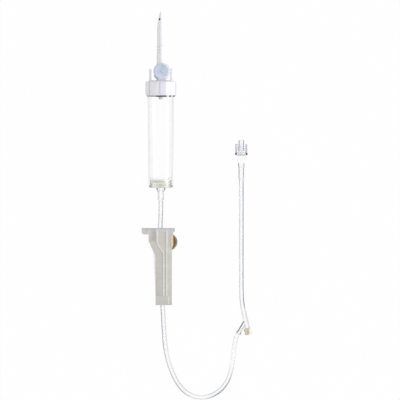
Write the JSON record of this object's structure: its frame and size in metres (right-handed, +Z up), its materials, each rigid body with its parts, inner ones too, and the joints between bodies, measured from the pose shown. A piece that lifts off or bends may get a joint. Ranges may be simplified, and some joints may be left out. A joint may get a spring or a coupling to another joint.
{
  "type": "iv infusion set",
  "caption": "Gravity infusion set: vented spike with drip chamber, roller clamp on clear tube, Y injection site and male luer lock.",
  "frame": {"origin": "on the surface that the set lies on, under the middle of the spike and drip chamber", "axes": "+Y along the drip chamber towards the spike's point, +Z up from the surface, +X towards the luer"},
  "size_m": [0.0828, 0.2904, 0.0233],
  "materials": {
    "white_abs": "satin",
    "membrane": "matte",
    "vent_blue": "satin",
    "clear_pvc": "gloss",
    "clear_foot": "gloss",
    "filter_green": "matte",
    "ring_green": "satin",
    "clear_tube": "gloss",
    "clamp_grey": "satin",
    "wheel_amber": "satin",
    "clear_y_site": "gloss",
    "septum_cream": "matte",
    "clear_luer": "gloss",
    "clear_collar": "gloss"
  },
  "bodies": {
    "set": {"spike_cap": "white_abs", "vent_membrane": "membrane", "drip_chamber": "clear_pvc", "chamber_base": "clear_foot", "filter_mesh": "filter_green", "filter_ring": "ring_green", "supply_tube": "clear_tube", "clamp_housing": "clamp_grey", "y_site_body": "clear_y_site", "y_site_septum": "septum_cream", "patient_tube": "clear_tube", "luer_body": "clear_luer"},
    "vent_cap": {"vent_cap": "vent_blue"},
    "roller": {"clamp_wheel": "wheel_amber"},
    "luer_collar": {"luer_collar": "clear_collar"}
  },
  "joints": [
    {"name": "roller_slide", "type": "slide", "parent": "set", "child": "roller", "axis": [0, -1, 0], "range_m": [0, 0.0336], "deforming": ["supply_tube"]},
    {"name": "vent_cap_hinge", "type": "hinge", "parent": "set", "child": "vent_cap", "pos_m": [0.0009, 0.01973, 0.01935], "axis": [1, 0, 0], "range_deg": [0, 90]},
    {"name": "collar_spin", "type": "hinge", "parent": "set", "child": "luer_collar", "pos_m": [0.06015, -0.035, 0.00475], "axis": [0, 1, 0], "continuous": true}
  ]
}
